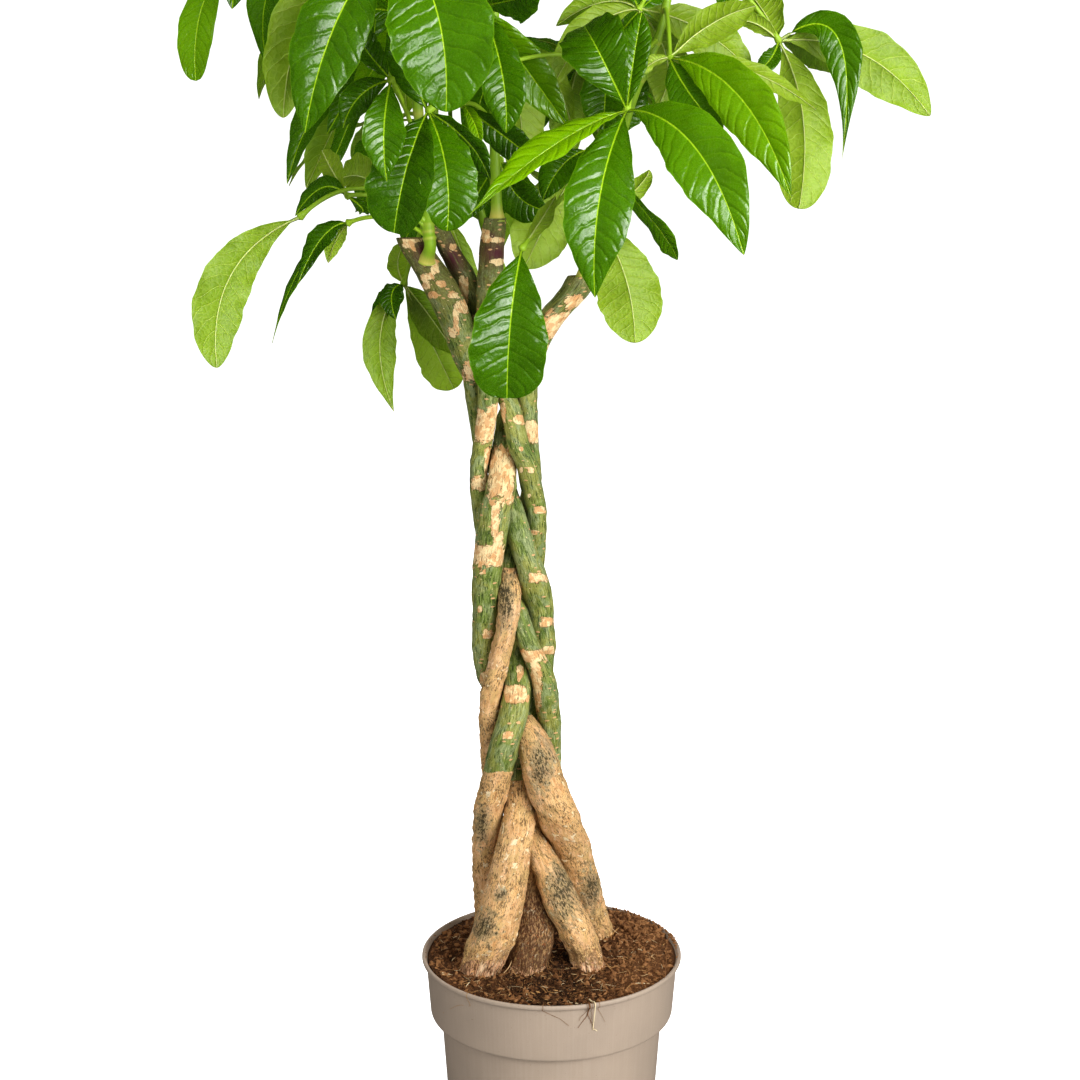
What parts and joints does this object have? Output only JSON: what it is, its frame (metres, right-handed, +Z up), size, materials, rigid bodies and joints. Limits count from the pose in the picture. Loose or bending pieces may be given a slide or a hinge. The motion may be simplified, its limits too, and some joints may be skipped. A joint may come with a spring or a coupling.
{
  "type": "potted braided money tree",
  "caption": "Potted money tree: braided woody stems rising from peat in a tapered nursery pot, crowned by leafy shoots of hand-shaped leaves.",
  "frame": {"origin": "middle of the pot's underside, where it stands on the floor", "axes": "+Z up along the trunk, -Y towards the viewer in the picture, +X to the viewer's right"},
  "size_m": [0.7285, 0.6042, 1.465],
  "materials": {
    "pot": "matte taupe moulded plastic",
    "soil": "loose dark peat with straw bits",
    "bark": "thin green to tan bark",
    "leaf": "glossy green leaves"
  },
  "bodies": {
    "root": {"pot": "pot", "soil": "soil", "stem_1": "bark", "stem_2": "bark", "stem_3": "bark", "stem_4": "bark", "stem_5": "bark", "leafy_shoot_1": "leaf", "leafy_shoot_2": "leaf", "leafy_shoot_3": "leaf", "leafy_shoot_4": "leaf", "leafy_shoot_5": "leaf", "leafy_shoot_6": "leaf"}
  },
  "joints": []
}
